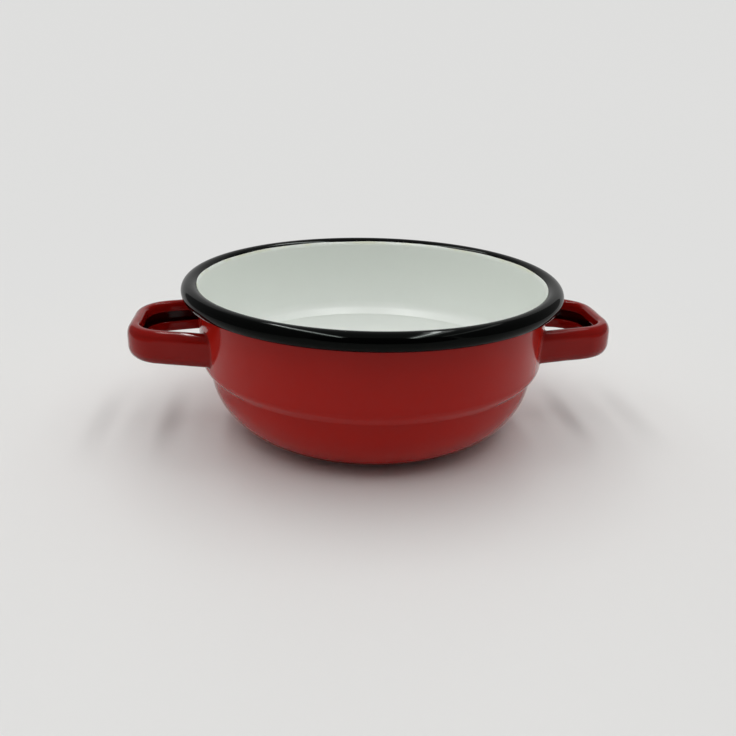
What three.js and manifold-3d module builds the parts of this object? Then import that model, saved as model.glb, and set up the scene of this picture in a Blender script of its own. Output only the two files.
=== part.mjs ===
// An enamelled steel soup bowl with a rolled rim and two welded strap handles.
// Millimetres, +Z up. The origin is on the table under the bowl's axis, and the handles lie along X.

import * as THREE from "three";
import { mergeVertices } from "three/addons/utils/BufferGeometryUtils.js";
import Module from "manifold-3d";

// Driving dimensions of the bowl
const rimRadius = 80; // axis to the outside of the coated bead
const beadRadius = 3.7; // half the thickness of the coated bead
const beadHeight = 61.7; // table to the middle of the bead
const sheet = 0.8; // steel of the shell
const enamel = 0.3; // every coat of enamel
const colourEdge = 140; // degrees round the bead where white meets black, 0 pointing away from the axis
const curlEnd = -125; // degrees round the bead where the rolled edge stops, short of the wall
const wallTaper = 1.15; // how much narrower the wall is at the shoulder than at the rim
const shoulderSlope = 49; // degrees the wall's underside falls inward below the shoulder
const shoulderRound = 5;
const creaseInset = 4.73; // rim's wall to the bottom of the crease, along the radius
const creaseHeight = 27.15;
const creaseRound = 1.7;
const ledgeInset = 4.65; // rim's wall to the slight ledge where the lower wall starts
const ledgeDrop = 0.95; // crease down to the ledge
const ledgeRound = 1.5;
const lowerLean = 9.8; // degrees the lower wall leans in before it rounds under
const lowerRound = 27.7; // round of the lower wall into the flat base

// Driving dimensions of the handles
const strapSheet = 1; // steel of the strap
const strapHeight = 13.2; // bare strap, edge to edge
const strapDepth = 5; // bare strap, face to the lips of its turned edges
const edgeRise = 4.4; // height of the curve in which an edge turns in
const edgeDepth = 3; // depth of that curve
const lipRound = 1.8; // outside of the bend from an edge into its lip
const slotHeight = 5.4; // opening between the bare lips, along the inside of the loop
const strapDrop = 20; // middle of the bead down to the middle of the strap
const handleProjection = 21.8; // outside of the rim to the outside of the bare strap
const handleHalfWidth = 21.6; // middle of the loop to where an arm's line would cross the front's line
const handleCorner = 17.3; // outside of the bare strap where the arm turns into the front
const armSplay = 13.9; // degrees the arms spread towards the wall
const weldThickness = 0.6; // upset metal between an arm's end and the shell
const contactGap = 0.02; // faces that meet after a cut are drawn this far apart

// Fineness of the round shapes
const roundSegments = 40;
const cornerSegments = 5;
const smallCornerSegments = 2;
const beadSegments = 9;
const lipSegments = 2;
const edgeSegments = 2;

const steel = new THREE.MeshStandardMaterial({ color: 0x8d9093, roughness: 0.45, metalness: 1 });
const redEnamel = new THREE.MeshStandardMaterial({ color: 0x93201b, roughness: 0.1, metalness: 0 });
const whiteEnamel = new THREE.MeshStandardMaterial({ color: 0xdfe3de, roughness: 0.12, metalness: 0 });
const blackEnamel = new THREE.MeshStandardMaterial({ color: 0x0b0c0c, roughness: 0.1, metalness: 0 });

const radians = THREE.MathUtils.degToRad;
const beadCentre = rimRadius - beadRadius;
const curlRadius = beadRadius - enamel;
const neckRadius = beadCentre - curlRadius + sheet;

// Values from one angle to another in equal steps, both ends included.
function steps(from, to, count) {
  return Array.from({ length: count + 1 }, (_, i) => from + ((to - from) * i) / count);
}

// The arc that rounds one corner of a section, as a function of how far the face is moved outward.
function roundedCorner(before, corner, after, radius, segments) {
  const arriving = corner.clone().sub(before).normalize();
  const leaving = after.clone().sub(corner).normalize();
  const turn = Math.sign(arriving.cross(leaving)) * arriving.angleTo(leaving);
  const towardsCentre = new THREE.Vector2(-arriving.y, arriving.x).multiplyScalar(Math.sign(turn));
  const start = corner.clone().addScaledVector(arriving, -radius * Math.tan(Math.abs(turn) / 2));
  const centre = start.clone().addScaledVector(towardsCentre, radius);
  const first = towardsCentre.clone().negate().angle();
  return (out) =>
    steps(first, first + turn, segments).map((angle) =>
      new THREE.Vector2(Math.cos(angle), Math.sin(angle))
        .multiplyScalar(radius + Math.sign(turn) * out)
        .add(centre),
    );
}

// The shell's outer face from the axis to the top of the shoulder, with its corners rounded.
const axisFoot = new THREE.Vector2(0, enamel);
const ledge = new THREE.Vector2(neckRadius - ledgeInset, creaseHeight - ledgeDrop);
const lowerFoot = new THREE.Vector2(ledge.x - (ledge.y - enamel) * Math.tan(radians(lowerLean)), enamel);
const crease = new THREE.Vector2(neckRadius - creaseInset, creaseHeight);
const shoulderRadius = neckRadius - wallTaper;
const shoulderRise = (shoulderRadius - crease.x) * Math.tan(radians(shoulderSlope));
const shoulder = new THREE.Vector2(shoulderRadius, creaseHeight + shoulderRise);
const neck = new THREE.Vector2(neckRadius, beadHeight);
const wallCorners = [
  roundedCorner(axisFoot, lowerFoot, ledge, lowerRound, cornerSegments),
  roundedCorner(lowerFoot, ledge, crease, ledgeRound, smallCornerSegments),
  roundedCorner(ledge, crease, shoulder, creaseRound, smallCornerSegments),
  roundedCorner(crease, shoulder, neck, shoulderRound, smallCornerSegments + 1),
];

// A face of the wall, moved out from the shell's outer face, from the axis to the top of the shoulder.
function wallFace(out) {
  return [new THREE.Vector2(0, enamel - out), ...wallCorners.flatMap((corner) => corner(out))];
}

// The point of such a face at a height on the straight upper wall.
function wallPoint(out, height) {
  const lean = (neck.x - shoulder.x) / (neck.y - shoulder.y);
  return new THREE.Vector2(neck.x + (height - neck.y) * lean + out * Math.hypot(1, lean), height);
}

function beadPoint(radius, degrees) {
  const angle = radians(degrees);
  return new THREE.Vector2(Math.cos(angle), Math.sin(angle))
    .multiplyScalar(radius)
    .add(new THREE.Vector2(beadCentre, beadHeight));
}

function turned(profile) {
  return new THREE.LatheGeometry(profile, roundSegments).rotateX(Math.PI / 2);
}

const wasm = await Module();
wasm.setup();

function solidOf(geometry) {
  const bare = geometry.clone();
  bare.deleteAttribute("normal");
  bare.deleteAttribute("uv");
  const merged = mergeVertices(bare);
  return new wasm.Manifold(
    new wasm.Mesh({
      numProp: 3,
      vertProperties: merged.attributes.position.array,
      triVerts: new Uint32Array(merged.index.array),
    }),
  );
}

function geometryOf(solid) {
  const mesh = solid.getMesh();
  const geometry = new THREE.BufferGeometry();
  geometry.setAttribute("position", new THREE.BufferAttribute(mesh.vertProperties, mesh.numProp));
  geometry.setIndex(new THREE.BufferAttribute(mesh.triVerts, 1));
  geometry.computeVertexNormals();
  return geometry;
}

const bowl = new THREE.Group();

function addPiece(name, geometry, material) {
  const mesh = new THREE.Mesh(geometry, material);
  mesh.name = name;
  bowl.add(mesh);
}

// Round the bead, from the wall over the top: white covers the lip as far as the colour edge, black the rest.
const lipAngles = steps(180, colourEdge, lipSegments);
const bandAngles = steps(colourEdge, curlEnd, beadSegments);
const curlAngles = [...lipAngles, ...bandAngles.slice(1)];

// The shell is one sheet. Its edge rolls outward over the top into a hollow bead that stays open below.
addPiece(
  "bowl_shell",
  turned([
    ...wallFace(0),
    ...curlAngles.map((angle) => beadPoint(curlRadius - sheet, angle)),
    ...curlAngles.toReversed().map((angle) => beadPoint(curlRadius, angle)),
    ...wallFace(-sheet).reverse(),
  ]),
  steel,
);

addPiece(
  "white_lining",
  turned([
    ...wallFace(-sheet),
    ...lipAngles.map((angle) => beadPoint(curlRadius, angle)),
    ...lipAngles.toReversed().map((angle) => beadPoint(beadRadius, angle)),
    ...wallFace(-sheet - enamel).reverse(),
  ]),
  whiteEnamel,
);

const bandProfile = [
  ...bandAngles.map((angle) => beadPoint(curlRadius, angle)),
  ...bandAngles.toReversed().map((angle) => beadPoint(beadRadius, angle)),
];
addPiece("black_rim", turned([...bandProfile, bandProfile[0]]), blackEnamel);

// The section of a strap: a channel whose edges turn in and end in lips, with a slot between them. It is grown
// all round by the thickness of its coat. Across the page is the strap's height, up the page is the way to the
// inside of the loop.
function channel(grow) {
  const half = strapHeight / 2 + grow;
  const hollow = strapHeight / 2 - strapSheet - grow;
  const middle = strapHeight / 2 - edgeRise;
  const bend = strapHeight / 2 - lipRound;
  const bendDepth = strapDepth - lipRound;
  const lipEnd = slotHeight / 2 - grow;
  const outer = [edgeRise + grow, edgeDepth + grow];
  const inner = [edgeRise - strapSheet - grow, edgeDepth - strapSheet - grow];
  const outerBend = lipRound + grow;
  const innerBend = lipRound - strapSheet - grow;
  const quarter = Math.PI / 2;
  const section = new THREE.Shape();
  section.moveTo(lipEnd, strapDepth + grow);
  section.absarc(bend, bendDepth, outerBend, quarter, 0, true);
  section.absellipse(middle, edgeDepth, ...outer, 0, -quarter, true);
  section.absellipse(-middle, edgeDepth, ...outer, -quarter, -2 * quarter, true);
  section.absarc(-bend, bendDepth, outerBend, 2 * quarter, quarter, true);
  section.lineTo(-lipEnd, strapDepth + grow);
  section.lineTo(-lipEnd, strapDepth - strapSheet - grow);
  section.absarc(-bend, bendDepth, innerBend, quarter, 2 * quarter, false);
  section.absellipse(-middle, edgeDepth, ...inner, 2 * quarter, 3 * quarter, false);
  section.absellipse(middle, edgeDepth, ...inner, 3 * quarter, 4 * quarter, false);
  section.absarc(bend, bendDepth, innerBend, 0, quarter, false);
  section.lineTo(lipEnd, strapDepth - strapSheet - grow);
  section.closePath();
  return section;
}

// A level path through stations, each a place and the heading there in radians.
class StrapPath extends THREE.Curve {
  constructor(stations) {
    super();
    this.stations = stations;
  }
  stationAt(share) {
    return this.stations[Math.round(share * (this.stations.length - 1))];
  }
  getPointAt(share) {
    const { x, y } = this.stationAt(share);
    return new THREE.Vector3(x, y, beadHeight - strapDrop);
  }
  getTangentAt(share) {
    const { heading } = this.stationAt(share);
    return new THREE.Vector3(Math.cos(heading), Math.sin(heading), 0);
  }
}

// The right handle's loop, seen from above: out along the front arm, across the front, back along the other.
const splay = radians(armSplay);
const reach = rimRadius + handleProjection;
const turnStart = handleCorner * Math.tan((Math.PI / 2 - splay) / 2);
const cornerX = reach - handleCorner;
const cornerY = turnStart - handleHalfWidth;
// An arm is drawn from the point of its line that is nearest the axis, inside the bowl, and trimmed to the wall.
const armOffset = handleHalfWidth * Math.cos(splay) + reach * Math.sin(splay);
const armRoot = { x: armOffset * Math.sin(splay), y: -armOffset * Math.cos(splay), heading: splay };
const frontTurn = steps(splay, Math.PI / 2, cornerSegments).map((heading) => ({
  x: cornerX + handleCorner * Math.sin(heading),
  y: cornerY - handleCorner * Math.cos(heading),
  heading,
}));
const mirrored = ({ x, y, heading }) => ({ x, y: -y, heading: Math.PI - heading });
const frontArm = [armRoot, frontTurn[0]];
const backArm = frontArm.toReversed().map(mirrored);
const loop = [armRoot, ...frontTurn, ...frontTurn.toReversed().map(mirrored), mirrored(armRoot)];

function sweptAlong(section, stations) {
  return new THREE.ExtrudeGeometry(section, {
    steps: stations.length - 1,
    extrudePath: new StrapPath(stations),
    curveSegments: edgeSegments,
    bevelEnabled: false,
  });
}

// Everything inside a face of the wall, which trims the arms to the shell.
function core(out) {
  return solidOf(
    turned([...wallFace(out), wallPoint(out, beadHeight), new THREE.Vector2(0, beadHeight)]),
  );
}
const shellCore = core(contactGap);
const weldCore = core(weldThickness - contactGap);
const strapCore = core(weldThickness);

const wholeStrap = solidOf(sweptAlong(channel(0), loop));
const strap = wholeStrap.subtract(strapCore);
const strapCoat = solidOf(sweptAlong(channel(enamel), loop)).subtract(wholeStrap).subtract(shellCore);
const welds = { front: frontArm, back: backArm };

// The left handle is the right one turned half round the axis, so its front arm is the right one's back arm.
const handles = [
  { side: "right", turn: 0, arms: { front: "front", back: "back" } },
  { side: "left", turn: Math.PI, arms: { front: "back", back: "front" } },
];
const windows = [];
for (const { side, turn, arms } of handles) {
  addPiece(`${side}_handle_strap`, geometryOf(strap).rotateZ(turn), steel);
  addPiece(`${side}_handle_coat`, geometryOf(strapCoat).rotateZ(turn), redEnamel);
  for (const [place, arm] of Object.entries(arms)) {
    const weld = solidOf(sweptAlong(channel(0), welds[arm])).intersect(weldCore).subtract(shellCore);
    addPiece(`${side}_${place}_weld`, geometryOf(weld).rotateZ(turn), steel);
    windows.push(solidOf(sweptAlong(channel(enamel + contactGap), welds[arm]).rotateZ(turn)));
  }
}

// The red coat stops at the neck, under the rolled edge, and leaves each arm's end a window to the steel.
const redTop = beadPoint(beadRadius, curlEnd).y;
const redWall = solidOf(
  turned([
    ...wallFace(enamel),
    wallPoint(enamel, redTop),
    wallPoint(0, redTop),
    ...wallFace(0).reverse(),
  ]),
);
const redCoat = windows.reduce((coat, window) => coat.subtract(window), redWall);
addPiece("red_coat", geometryOf(redCoat), redEnamel);

export default bowl;
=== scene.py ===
import math

import bmesh
import bpy
from mathutils import Matrix, Vector, noise


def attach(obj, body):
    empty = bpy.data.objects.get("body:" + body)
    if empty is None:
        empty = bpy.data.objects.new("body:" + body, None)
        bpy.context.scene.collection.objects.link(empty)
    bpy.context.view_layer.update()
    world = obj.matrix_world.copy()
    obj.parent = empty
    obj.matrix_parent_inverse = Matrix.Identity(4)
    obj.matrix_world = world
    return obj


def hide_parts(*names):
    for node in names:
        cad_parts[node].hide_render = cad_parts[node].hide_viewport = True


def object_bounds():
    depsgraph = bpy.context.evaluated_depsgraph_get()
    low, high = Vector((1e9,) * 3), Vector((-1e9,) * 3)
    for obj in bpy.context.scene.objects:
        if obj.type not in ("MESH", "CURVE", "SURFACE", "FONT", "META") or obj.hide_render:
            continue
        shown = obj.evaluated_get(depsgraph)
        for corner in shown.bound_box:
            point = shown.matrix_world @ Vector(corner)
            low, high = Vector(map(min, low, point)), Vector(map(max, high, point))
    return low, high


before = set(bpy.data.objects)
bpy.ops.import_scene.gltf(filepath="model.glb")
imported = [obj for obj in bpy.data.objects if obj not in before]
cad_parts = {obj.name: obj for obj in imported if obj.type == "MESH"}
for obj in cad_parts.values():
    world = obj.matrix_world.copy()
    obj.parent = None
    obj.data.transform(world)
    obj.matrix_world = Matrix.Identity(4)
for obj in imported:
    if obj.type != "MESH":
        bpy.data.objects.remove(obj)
cad_low, cad_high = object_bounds()


# The bare steel: a bowl drawn from one sheet, two pressed handle straps and the welds between them.
# Enamel covers all of it, so these solids keep their shape, and only get the grey of pickled sheet
# with the faint streaks that drawing leaves.
class Shade:
    """A value in a material's nodes. Arithmetic on it adds Math nodes, and add() makes any other node."""

    def __init__(self, tree, socket=None):
        self.tree = tree
        self.socket = socket

    def add(self, kind, settings=None, sockets=None, output=0):
        node = self.tree.nodes.new(kind)
        for name, value in (settings or {}).items():
            setattr(node, name, value)
        for name, value in (sockets or {}).items():
            if isinstance(value, Shade):
                self.tree.links.new(value.socket, node.inputs[name])
            else:
                node.inputs[name].default_value = value
        return Shade(self.tree, node.outputs[output] if node.outputs else None)

    def math(self, operation, *values):
        return self.add("ShaderNodeMath", {"operation": operation}, dict(enumerate(values)))

    def __add__(self, other):
        return self.math("ADD", self, other)

    def __sub__(self, other):
        return self.math("SUBTRACT", self, other)

    def __rsub__(self, other):
        return self.math("SUBTRACT", other, self)

    def __mul__(self, other):
        return self.math("MULTIPLY", self, other)

    __radd__ = __add__
    __rmul__ = __mul__

    def ramp(self, low, high):
        """0 below low, 1 above high, and smooth between them."""
        sockets = {"Value": self, "From Min": low, "From Max": high}
        return self.add("ShaderNodeMapRange", {"interpolation_type": "SMOOTHSTEP"}, sockets)

    def cloud(self, size, detail=2.0):
        """Soft noise from 0 to 1 over this place, with lumps of that size in metres."""
        return self.add("ShaderNodeTexNoise", {}, {"Vector": self, "Scale": 1 / size, "Detail": detail})

    def blend(self, first, second):
        """From the first colour to the second as this value goes from 0 to 1."""
        sockets = {"Factor": self, 6: first, 7: second}
        return self.add("ShaderNodeMix", {"data_type": "RGBA"}, sockets, output=2)


def new_material(name):
    """An empty material and the place on the piece that its patterns follow."""
    material = bpy.data.materials.new(name)
    material.use_nodes = True
    material.node_tree.nodes.clear()
    place = Shade(material.node_tree).add("ShaderNodeTexCoord", output="Object")
    return material, place


mm = 0.001
streak_size = 4 * mm
streak_squash = (1, 1, 6)
steel, place = new_material("pickled_steel")
squashed = place.add("ShaderNodeMapping", {}, {"Vector": place, "Scale": streak_squash})
streaks = squashed.cloud(streak_size, detail=5)
steel_surface = place.add(
    "ShaderNodeBsdfPrincipled",
    {},
    {
        "Base Color": streaks.blend((0.40, 0.41, 0.42, 1), (0.58, 0.58, 0.58, 1)),
        "Metallic": 1.0,
        "Roughness": 0.32 + 0.2 * streaks,
    },
)
place.add("ShaderNodeOutputMaterial", {}, {"Surface": steel_surface})

steel_nodes = ["bowl_shell"]
for side in ("left", "right"):
    steel_nodes += [f"{side}_handle_strap", f"{side}_front_weld", f"{side}_back_weld"]
for name in steel_nodes:
    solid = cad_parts[name].data
    solid.materials.clear()
    solid.materials.append(steel)


# The white lining is cover enamel poured into the bowl, swilled round and fired. It follows the
# steel's inside over the step in the wall, and ends on the inner side of the rim's bead.
enamel = 0.3 * mm
sheet = 0.8 * mm
rim_radius = 80 * mm
bead_radius = 3.7 * mm
bead_height = 61.7 * mm
bead_centre = rim_radius - bead_radius
neck_radius = bead_centre - bead_radius + enamel + sheet
shoulder_radius = neck_radius - 1.15 * mm
shoulder_slope = math.radians(49)
shoulder_round = 5 * mm
crease_radius = neck_radius - 4.556 * mm
crease_height = 27.35 * mm
crease_round = 1.2 * mm
ledge_radius = crease_radius
ledge_height = crease_height - 0.61 * mm
ledge_round = 1.5 * mm
lower_lean = math.radians(9.8)
lower_round = 27.7 * mm
lower_radius = ledge_radius - (ledge_height - enamel) * math.tan(lower_lean)
shoulder_height = crease_height + (shoulder_radius - crease_radius) * math.tan(shoulder_slope)
wall_lean = (neck_radius - shoulder_radius) / (bead_height - shoulder_height)
round_step = math.radians(5)
roll_step = math.radians(6)
turn_steps = 288
merge_distance = 0.001 * mm
sharp_angle = math.radians(50)

# Where black meets white on the bead, and its waves: degrees, waves round the rim and start of each.
edge_angle = math.radians(140)
edge_waves = [(1.6, 3, 0.7), (1.2, 7, 2.1), (0.9, 16, 0)]

# Corners of the steel's outer face from the axis to the rim, each with its rounding.
steel_corners = [
    (Vector((0, enamel)), 0),
    (Vector((lower_radius, enamel)), lower_round),
    (Vector((ledge_radius, ledge_height)), ledge_round),
    (Vector((crease_radius, crease_height)), crease_round),
    (Vector((shoulder_radius, shoulder_height)), shoulder_round),
    (Vector((neck_radius, bead_height)), 0),
]


def wall_radius(height, out):
    """Radius of the straight upper wall, moved out from the steel's outer face."""
    return neck_radius + (height - bead_height) * wall_lean + out * math.hypot(1, wall_lean)


def wall_profile(out, top):
    """A new bmesh with the wall's section, moved out from the steel's outer face, and its top vertex."""
    section = bmesh.new()
    points = [corner for corner, _ in steel_corners]
    headings = [(b - a).normalized() for a, b in zip(points, points[1:])]
    normals = [Vector((heading.y, -heading.x)) for heading in headings]
    rounds = []
    row = [section.verts.new((0, 0, enamel - out))]
    for i in range(1, len(points) - 1):
        before, after = normals[i - 1], normals[i]
        moved = points[i] + (before + after) * out / (1 + before.dot(after))
        turn = -headings[i - 1].angle_signed(headings[i])
        radius = steel_corners[i][1] + math.copysign(out, turn)
        row.append(section.verts.new((moved.x, 0, moved.y)))
        rounds.append((row[-1], radius * math.tan(abs(turn) / 2), math.ceil(abs(turn) / round_step)))
    row.append(section.verts.new((wall_radius(top, out), 0, top)))
    for pair in zip(row, row[1:]):
        section.edges.new(pair)
    for corner, length, segments in rounds:
        bmesh.ops.bevel(
            section, geom=[corner], offset=length, offset_type="OFFSET", affect="VERTICES",
            segments=segments, profile=0.5, material=-1,
        )
    return section, row[-1]


def rolled(section, vertex, start, end, radius):
    """Rolls a vertex round the bead's centre between two angles, 0 pointing away from the axis."""
    vertex.co = (bead_centre + radius * math.cos(start), 0, bead_height + radius * math.sin(start))
    steps = math.ceil(abs(start - end) / roll_step)
    bmesh.ops.spin(
        section, geom=[vertex], cent=(bead_centre, 0, bead_height), axis=(0, 1, 0), dvec=(0, 0, 0),
        angle=start - end, steps=steps, use_merge=False,
    )


def turned(section):
    """Spins a section round the bowl's axis into a closed surface of revolution."""
    bmesh.ops.spin(
        section, geom=section.verts[:] + section.edges[:], cent=(0, 0, 0), axis=(0, 0, 1), dvec=(0, 0, 0),
        angle=math.tau, steps=turn_steps, use_merge=True,
    )
    bmesh.ops.remove_doubles(section, verts=section.verts[:], dist=merge_distance)
    bmesh.ops.recalc_face_normals(section, faces=section.faces[:])


def thickened(skin, thickness):
    """Gives a skin its thickness, behind its normals or, where that is negative, in front of them."""
    bmesh.ops.solidify(skin, geom=skin.faces[:], thickness=thickness)
    if skin.calc_volume(signed=True) < 0:
        bmesh.ops.reverse_faces(skin, faces=skin.faces[:])


def finished(name, mesh, material):
    """A smooth piece of that mesh, sharp only where its faces meet at a steep angle."""
    for face in mesh.faces:
        face.smooth = True
    for edge in mesh.edges:
        edge.smooth = edge.calc_face_angle(0) < sharp_angle
    data = bpy.data.meshes.new(name)
    mesh.to_mesh(data)
    mesh.free()
    data.materials.append(material)
    piece = bpy.data.objects.new(name, data)
    bpy.context.scene.collection.objects.link(piece)
    return piece


def colour_edge(turn):
    """The angle of the colour edge at a turn round the axis. The band is laid on by hand, so it wavers."""
    wobble = sum(size * math.sin(count * turn + start) for size, count, start in edge_waves)
    return edge_angle + math.radians(wobble)


def slide_to_edge(mesh, fixed):
    """Slides a coat along the bead to the uneven colour edge, and leaves it as it is at a fixed angle."""
    spare = math.radians(0.5)
    low, high = min(fixed, edge_angle) - spare, max(fixed, edge_angle) + spare
    for vertex in mesh.verts:
        radius = math.hypot(vertex.co.x, vertex.co.y)
        across, height = radius - bead_centre, vertex.co.z - bead_height
        angle = math.atan2(height, across)
        if not low <= angle <= high:
            continue
        turn = math.atan2(vertex.co.y, vertex.co.x)
        share = (angle - fixed) / (edge_angle - fixed)
        new_angle = fixed + share * (colour_edge(turn) - fixed)
        reach = math.hypot(across, height)
        scale = (bead_centre + reach * math.cos(new_angle)) / radius
        vertex.co.x *= scale
        vertex.co.y *= scale
        vertex.co.z = bead_height + reach * math.sin(new_angle)


gloss_size = 9 * mm
peel_size = 3.5 * mm
peel_depth = 0.006 * mm


def enamel_surface(place, colour, roughness, specular, tint=(1, 1, 1, 1)):
    """Fired enamel of that colour: glossy glass with a faint orange peel."""
    gloss = place.cloud(gloss_size, detail=3)
    peel = place.cloud(peel_size, detail=1)
    bump = place.add("ShaderNodeBump", {}, {"Height": peel, "Distance": peel_depth, "Strength": 1.0})
    return place.add(
        "ShaderNodeBsdfPrincipled",
        {},
        {
            "Base Color": colour,
            "Roughness": roughness * (0.7 + 0.6 * gloss),
            "Specular IOR Level": specular,
            "Specular Tint": tint,
            "Normal": bump,
        },
    )


# Painted shade: from this height up to the rim the lining turns grey, where the upper wall gets less
# light.
thick_white_height = 14 * mm
fringe_low, fringe_high = bead_height + 0.6 * mm, bead_height + 2.3 * mm
fringe_share = 0.6
white_enamel, place = new_material("white_enamel")
height = place.add("ShaderNodeSeparateXYZ", {}, {"Vector": place}, output="Z")
thick_white = place.cloud(14 * mm).blend((0.83, 0.855, 0.825, 1), (0.87, 0.895, 0.865, 1))
# Painted shade: the white greys towards the rim.
white_tone = height.ramp(thick_white_height, bead_height).blend(thick_white, (0.73, 0.768, 0.72, 1))
fringe = height.ramp(fringe_low, fringe_high) * place.cloud(11 * mm).ramp(0.42, 0.62)
white_colour = (fringe_share * fringe).blend(white_tone, (0.62, 0.63, 0.44, 1))
white_surface = enamel_surface(place, white_colour, roughness=0.32, specular=0.3)
place.add("ShaderNodeOutputMaterial", {}, {"Surface": white_surface})

lining_mesh, lip = wall_profile(-sheet - enamel, bead_height)
rolled(lining_mesh, lip, math.pi, edge_angle, bead_radius)
turned(lining_mesh)
slide_to_edge(lining_mesh, math.pi)
thickened(lining_mesh, -enamel)
white_lining = finished("white_lining_enamel", lining_mesh, white_enamel)
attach(white_lining, "root")
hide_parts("white_lining")


# The red coat is cover enamel over the whole outside, underside included, as far as the neck under
# the rolled rim. It softens the step in the wall, and its underside is a little scuffed from standing.
scuff_size = 2 * mm
scuff_low, scuff_high = 0.1 * mm, 0.6 * mm
scuff_share = 0.25
red_enamel, place = new_material("red_enamel")
red_tone = place.cloud(16 * mm).blend((0.392, 0.0092, 0.0046, 1), (0.424, 0.0112, 0.0062, 1))
height = place.add("ShaderNodeSeparateXYZ", {}, {"Vector": place}, output="Z")
scuffed = (1 - height.ramp(scuff_low, scuff_high)) * place.cloud(scuff_size, detail=6).ramp(0.45, 0.62)
# Painted shade on the handles, read from their vertex layer, darkens the red; the scuffs are real wear.
thin_coat = place.add("ShaderNodeAttribute", {"attribute_name": "thin_coat"}, output="Fac")
red_colour = (scuff_share * scuffed + thin_coat).blend(red_tone, (0.045, 0.001, 0.0015, 1))
red_roughness = 0.09 + scuff_share * scuffed
red_surface = enamel_surface(place, red_colour, red_roughness, specular=0.16)
place.add("ShaderNodeOutputMaterial", {}, {"Surface": red_surface})

curl_end = math.radians(-125)
red_top = bead_height + bead_radius * math.sin(curl_end)
red_mesh, _ = wall_profile(enamel, red_top)
turned(red_mesh)
thickened(red_mesh, enamel)
red_coat = finished("red_outer_enamel", red_mesh, red_enamel)
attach(red_coat, "root")
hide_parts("red_coat")


# The black rim is a band of enamel rolled on by hand round the bead, over the other two coats. It
# stands a little proud along its uneven inner edge, and runs under the bead to the end of the curl.
matt_share = 0.3
black_enamel, place = new_material("black_enamel")
black_tone = place.cloud(12 * mm).blend((0.0008, 0.0009, 0.0009, 1), (0.0016, 0.0017, 0.0016, 1))
black_shine = (0.88, 1, 0.93, 1)
glossy_black = enamel_surface(place, black_tone, roughness=0.07, specular=0.1, tint=black_shine)
matt_black = place.add("ShaderNodeBsdfDiffuse", {}, {"Color": black_tone})
worn_black = place.add("ShaderNodeMixShader", {}, {0: matt_share, 1: glossy_black, 2: matt_black})
place.add("ShaderNodeOutputMaterial", {}, {"Surface": worn_black})

rim_mesh = bmesh.new()
band_start = rim_mesh.verts.new((0, 0, 0))
rolled(rim_mesh, band_start, edge_angle, curl_end, bead_radius)
turned(rim_mesh)
slide_to_edge(rim_mesh, curl_end)
thickened(rim_mesh, enamel)
black_rim = finished("black_rim_enamel", rim_mesh, black_enamel)
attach(black_rim, "root")
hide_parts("black_rim")


# Each handle is a steel strap pressed into a channel with lips and bent into a loop, its slot inside.
# It is welded to the wall and dipped red with the bowl. The enamel fillets the arms into the wall. Painted
# shade darkens the red in the hollow between the lips, and less on the outer faces and edges.
strap_height = 13.2 * mm + 2 * enamel
strap_depth = 5 * mm
strap_wall = 1 * mm + 2 * enamel
slot_height = 5.4 * mm - 2 * enamel
edge_rise = 4.4 * mm + enamel
edge_depth = 3 * mm + enamel
lip_round = 2.1 * mm
slot_round = 0.7 * mm
under_lip_round = 0.6 * mm
web_round = 2.75 * mm
round_segments = 6
strap_middle = bead_height - 20 * mm
reach = rim_radius + 21.8 * mm
half_width = 21.6 * mm
corner_round = 17.3 * mm
splay = math.radians(13.9)
corner_turn = math.pi / 2 - splay
fillet = 1.15 * mm
fillet_sink = 0.1 * mm
arm_rings = 10
fillet_rings = 6
corner_rings = 18
front_rings = 8
wave_size = 7 * mm
wave_height = 0.1 * mm
wave_fade = 6 * mm
# Painted shade on the red: how far it darkens a handle's outer faces, its edges and its hollow.
face_thinness = 0.41
edge_thinness = 0.55
hollow_thinness = 1.0
round_share = 0.7


def channel_ring(mesh, start, heading):
    """The coated channel's outline as a ring of edges across a heading, the loop's inside to its left."""
    top, hollow, slot = strap_height / 2, strap_height / 2 - strap_wall, slot_height / 2
    back, web = -enamel, strap_wall - enamel
    lip, under_lip = strap_depth + enamel, strap_depth + enamel - strap_wall
    stretch = edge_rise / edge_depth
    half_outline = [
        (back, top, edge_rise),
        (lip, top, lip_round),
        (lip, slot, slot_round),
        (under_lip, slot, slot_round),
        (under_lip, hollow, under_lip_round),
        (web, hollow, web_round),
    ]
    outline = half_outline + [(depth, -rise, radius) for depth, rise, radius in reversed(half_outline)]
    # A vertex layer of painted shade: darkest in the hollow between the lips, less on the edges and faces.
    thinness = mesh.verts.layers.float.new("thin_coat")
    corners = []
    for depth, rise, _ in outline:
        corners.append(mesh.verts.new((depth * stretch, 0, rise)))
        corners[-1][thinness] = hollow_thinness if web <= depth <= under_lip else edge_thinness
    for pair in zip(corners, corners[1:] + corners[:1]):
        mesh.edges.new(pair)
    for corner, (_, _, radius) in zip(corners, outline):
        bmesh.ops.bevel(
            mesh, geom=[corner], offset=radius, offset_type="OFFSET", affect="VERTICES",
            segments=round_segments, profile=0.5, material=-1,
        )
    for vertex in mesh.verts:
        if vertex.co.x < 0 and abs(vertex.co.z) < top - round_share * edge_rise:
            vertex[thinness] = face_thinness
    bmesh.ops.scale(mesh, vec=(1 / stretch, 1, 1), verts=mesh.verts[:])
    across_heading = Matrix.Rotation(heading + math.pi / 2, 4, "Z")
    facing = Matrix.Translation((start.x, start.y, strap_middle)) @ across_heading
    bmesh.ops.transform(mesh, matrix=facing, verts=mesh.verts[:])
    return mesh.edges[:]


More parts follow.
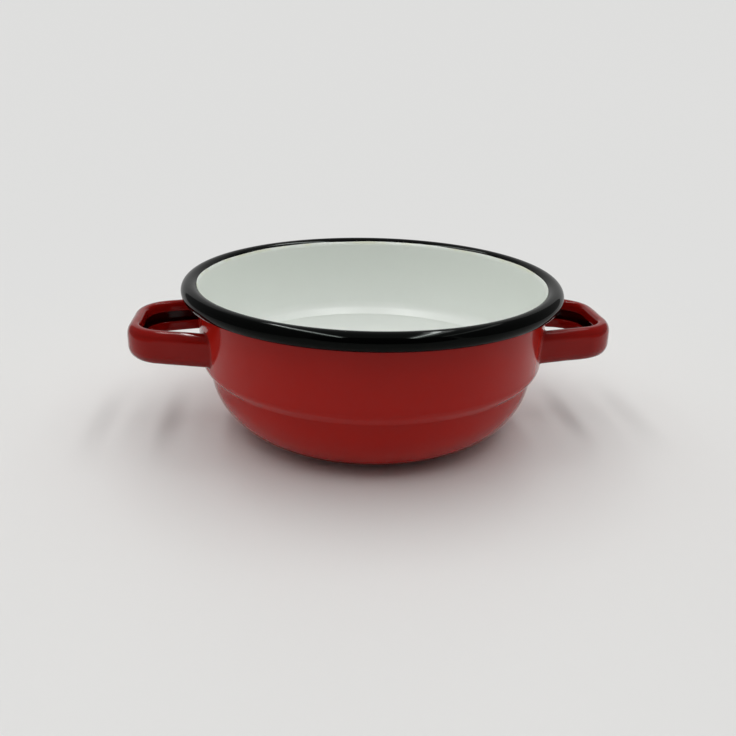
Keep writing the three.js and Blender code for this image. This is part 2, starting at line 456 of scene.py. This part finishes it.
def swept(mesh, ring, steps, angle=0.0, centre=(0, 0, 0), stride=(0, 0, 0)):
    """Carries a ring of edges on, round a centre or along a stride, and gives the last ring."""
    made = bmesh.ops.spin(
        mesh, geom=ring, cent=centre, axis=(0, 0, 1), dvec=stride, angle=angle, steps=steps,
        use_merge=False,
    )
    return [item for item in made["geom_last"] if isinstance(item, bmesh.types.BMEdge)]


def way_to_wall(point, heading):
    """How far a point has to go along a level heading to meet the red wall."""
    radius = wall_radius(point.z, enamel)
    along = point.x * heading.x + point.y * heading.y
    off = point.x * point.x + point.y * point.y - radius * radius
    return -along - math.sqrt(max(along * along - off, 0))


def arm_to_wall(mesh, ring, heading):
    """Runs an arm from its ring to the wall, and bends its end into a fillet along the wall."""
    stride = 1 * mm
    before = set(mesh.verts)
    origin = ring[0].verts[0].co.dot(heading)
    swept(mesh, ring, arm_rings + fillet_rings, stride=heading * stride)
    bmesh.ops.recalc_face_normals(mesh, faces=mesh.faces[:])
    mesh.normal_update()
    moves = []
    for vertex in mesh.verts:
        if vertex in before:
            continue
        ring_number = round((vertex.co.dot(heading) - origin) / stride)
        start = vertex.co - heading * (ring_number * stride)
        corner = start + heading * way_to_wall(start, heading)
        if ring_number <= arm_rings:
            moves.append((vertex, start.lerp(corner - heading * fillet, ring_number / arm_rings)))
            continue
        wall_normal = Vector((corner.x, corner.y, 0)).normalized()
        outward = vertex.normal - wall_normal * vertex.normal.dot(wall_normal)
        far_end = corner + outward.normalized() * fillet
        far_radius = wall_radius(far_end.z, enamel) - fillet_sink
        far_end.xy = far_end.xy.normalized() * far_radius
        share = (ring_number - arm_rings) / fillet_rings
        bent = (corner - heading * fillet).lerp(corner, share).lerp(corner.lerp(far_end, share), share)
        moves.append((vertex, bent))
    for vertex, target in moves:
        vertex.co = target


def ripple_skin(mesh):
    """Lets the fired coat run into faint waves, less towards the wall."""
    mesh.normal_update()
    for vertex in mesh.verts:
        away = min(max((vertex.co.xy.length - wall_radius(vertex.co.z, enamel)) / wave_fade, 0), 1)
        vertex.co += vertex.normal * noise.noise(vertex.co / wave_size) * wave_height * away


def handle_coat(name, turn):
    """One handle's coat, built as the right handle and turned round the bowl's axis."""
    mesh = bmesh.new()
    tangent_length = corner_round * math.tan(corner_turn / 2)
    corner_x, corner_y = reach - corner_round, tangent_length - half_width
    start_x = corner_x + corner_round * math.sin(splay)
    start_y = corner_y - corner_round * math.cos(splay)
    ring = channel_ring(mesh, Vector((start_x, start_y, 0)), splay)
    front = swept(mesh, ring, corner_rings, angle=corner_turn, centre=(corner_x, corner_y, 0))
    far = swept(mesh, front, front_rings, stride=(0, -2 * corner_y / front_rings, 0))
    last = swept(mesh, far, corner_rings, angle=corner_turn, centre=(corner_x, -corner_y, 0))
    arm_to_wall(mesh, ring, Vector((-math.cos(splay), -math.sin(splay), 0)))
    arm_to_wall(mesh, last, Vector((-math.cos(splay), math.sin(splay), 0)))
    bmesh.ops.remove_doubles(mesh, verts=mesh.verts[:], dist=merge_distance)
    bmesh.ops.recalc_face_normals(mesh, faces=mesh.faces[:])
    ripple_skin(mesh)
    bmesh.ops.holes_fill(mesh, edges=mesh.edges[:], sides=0)
    bmesh.ops.recalc_face_normals(mesh, faces=mesh.faces[:])
    bmesh.ops.rotate(mesh, verts=mesh.verts[:], cent=(0, 0, 0), matrix=Matrix.Rotation(turn, 3, "Z"))
    return finished(name, mesh, red_enamel)


for side, turn in (("right", 0), ("left", math.pi)):
    coat = handle_coat(f"{side}_handle_enamel", turn)
    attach(coat, "root")
    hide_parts(f"{side}_handle_coat")


# The bowl stands in a small light tent: a pale floor that sweeps up all round into a glowing wall.
# Towards the open front the cloth gives the bowl little light, though the camera sees it pale. The
# dimmer side walls and the dark front itself are panels that show only in reflections.
tent_radius = 0.75
sweep_radius = 0.28
sweep_steps = 12
tent_height = 0.62
tent_steps = 96
floor_height = cad_low.z
front_dark, front_pale = -0.5, -0.25
glow_start, glow_full = 0.1, 0.34
glow_share = 0.92
light_share = 0.25

tent_mesh = bmesh.new()
middle = tent_mesh.verts.new((0, 0, floor_height))
foot = tent_mesh.verts.new((tent_radius - sweep_radius, 0, floor_height))
tent_mesh.edges.new((middle, foot))
sweep_centre = (tent_radius - sweep_radius, 0, floor_height + sweep_radius)
arc = bmesh.ops.spin(
    tent_mesh, geom=[foot], cent=sweep_centre, axis=(0, 1, 0), dvec=(0, 0, 0), angle=-math.pi / 2,
    steps=sweep_steps, use_merge=False,
)
wall_foot = next(item for item in arc["geom_last"] if isinstance(item, bmesh.types.BMVert))
wall_top = tent_mesh.verts.new((tent_radius, 0, floor_height + tent_height))
tent_mesh.edges.new((wall_foot, wall_top))
bmesh.ops.spin(
    tent_mesh, geom=tent_mesh.verts[:] + tent_mesh.edges[:], cent=(0, 0, 0), axis=(0, 0, 1),
    dvec=(0, 0, 0), angle=math.tau, steps=tent_steps, use_merge=True,
)
bmesh.ops.remove_doubles(tent_mesh, verts=tent_mesh.verts[:], dist=merge_distance)
bmesh.ops.recalc_face_normals(tent_mesh, faces=tent_mesh.faces[:])

tent_cloth, place = new_material("tent_cloth")
level = place.add("ShaderNodeVectorMath", {"operation": "MULTIPLY"}, {0: place, 1: (1, 1, 0)})
distance = place.add("ShaderNodeVectorMath", {"operation": "LENGTH"}, {0: level}, output="Value")
depth = place.add("ShaderNodeSeparateXYZ", {}, {"Vector": place}, output="Y")
inside = depth.ramp(front_dark, front_pale)
cloth_colour = inside.blend((0.12, 0.12, 0.12, 1), (0.757, 0.754, 0.742, 1))
cloth = place.add(
    "ShaderNodeBsdfPrincipled",
    {},
    {"Base Color": cloth_colour, "Roughness": 0.5, "Specular IOR Level": 0.3},
)
glow = place.add("ShaderNodeEmission", {}, {"Color": (1, 1, 0.99, 1), "Strength": 0.74})
seen = place.add("ShaderNodeLightPath", output="Is Camera Ray")
for ray in ("Is Glossy Ray", "Is Transmission Ray"):
    seen = seen + place.add("ShaderNodeLightPath", output=ray)
shining = seen.math("MAXIMUM", seen, light_share * inside)
glowing = glow_share * distance.ramp(glow_start, glow_full) * shining
lit_cloth = place.add("ShaderNodeMixShader", {}, {0: glowing, 1: cloth, 2: glow})
place.add("ShaderNodeOutputMaterial", {}, {"Surface": lit_cloth})
tent = finished("tent", tent_mesh, tent_cloth)


def reflected_panel(name, matrix, brightness):
    """A glowing panel that only reflections show, one metre square before its matrix."""
    panel_mesh = bmesh.new()
    bmesh.ops.create_grid(panel_mesh, x_segments=1, y_segments=1, size=0.5)
    bmesh.ops.transform(panel_mesh, verts=panel_mesh.verts[:], matrix=matrix)
    panel_cloth, place = new_material(name)
    surface = place.add("ShaderNodeEmission", {}, {"Strength": brightness})
    place.add("ShaderNodeOutputMaterial", {}, {"Surface": surface})
    panel = finished(name, panel_mesh, panel_cloth)
    panel.visible_camera = False
    panel.visible_diffuse = False
    panel.visible_shadow = False


tent_front, tent_back = -0.56, 0.58
tent_left, tent_right = -0.45, 0.52
panel_height = 0.42
front_brightness = 0.02
side_brightness = 0.2
side_scale = Matrix.Scale(tent_back - tent_front, 4, (0, 1, 0))
front_scale = Matrix.Scale(tent_right - tent_left, 4, (1, 0, 0))
front_place = Matrix.Translation(((tent_left + tent_right) / 2, tent_front, panel_height))
front_facing = Matrix.Rotation(math.pi / 2, 4, "X")
reflected_panel("front_opening", front_place @ front_scale @ front_facing, front_brightness)
side_facing = Matrix.Rotation(math.pi / 2, 4, "Y")
for name, across in (("left_wall", tent_left), ("right_wall", tent_right)):
    side_place = Matrix.Translation((across, (tent_front + tent_back) / 2, panel_height))
    reflected_panel(name, side_place @ side_scale @ side_facing, side_brightness)


# The light: four long lamps under the tent's roof, front to back, and the glow of the roof itself. The
# bright tubes of the two middle lamps are panels that show only in reflections.
strip_height = 0.75
strip_back = -0.04
strips = [(-0.57, 2.37), (-0.27, 5.55), (0.235, 5.55), (0.5, 2.27)]
strip_size = (0.1, 1.0)
tube_width = 0.028
tube_brightness = 44
tube_drop = 0.005
tubes = [-0.265, 0.225]
for number, across in enumerate(tubes):
    tube_size = Matrix.Diagonal((tube_width, strip_size[1], 1, 1))
    tube_place = Matrix.Translation((across, strip_back, strip_height - tube_drop))
    reflected_panel(f"tube_{number}", tube_place @ tube_size, tube_brightness)
for number, (across, radiance) in enumerate(strips):
    lamp = bpy.data.lights.new(f"strip_{number}", "AREA")
    lamp.shape = "RECTANGLE"
    lamp.size, lamp.size_y = strip_size
    lamp.energy = radiance * math.pi * strip_size[0] * strip_size[1]
    strip = bpy.data.objects.new(f"strip_{number}", lamp)
    strip.location = (across, strip_back, strip_height)
    bpy.context.scene.collection.objects.link(strip)

roof_glow = 0.52
world = bpy.data.worlds.new("tent_roof")
world.use_nodes = True
world.node_tree.nodes["Background"].inputs["Color"].default_value = (1, 1, 1, 1)
world.node_tree.nodes["Background"].inputs["Strength"].default_value = roof_glow
bpy.context.scene.world = world


# The camera stands in front of the bowl, a little to the left, and looks down into it. Its lens is
# given in pixels of the square picture.
camera_distance = 351.7 * mm
camera_height = bead_height + 94.25 * mm
camera_swing = 0.099
camera_heading = 0.0032 - camera_swing
camera_tilt = 0.3604
camera_roll = 0.0216
focal_pixels = 850
frame_pixels = 736
lens = bpy.data.cameras.new("camera")
lens.sensor_width = 36
lens.lens = lens.sensor_width * focal_pixels / frame_pixels
lens.clip_start = 0.01
camera = bpy.data.objects.new("camera", lens)
camera_x = -camera_distance * math.sin(camera_swing)
camera_y = -camera_distance * math.cos(camera_swing)
camera.matrix_world = (
    Matrix.Translation((camera_x, camera_y, camera_height))
    @ Matrix.Rotation(camera_heading, 4, "Z")
    @ Matrix.Rotation(math.pi / 2 - camera_tilt, 4, "X")
    @ Matrix.Rotation(camera_roll, 4, "Z")
)
bpy.context.scene.collection.objects.link(camera)
bpy.context.scene.camera = camera
bpy.context.scene.view_settings.view_transform = "Standard"
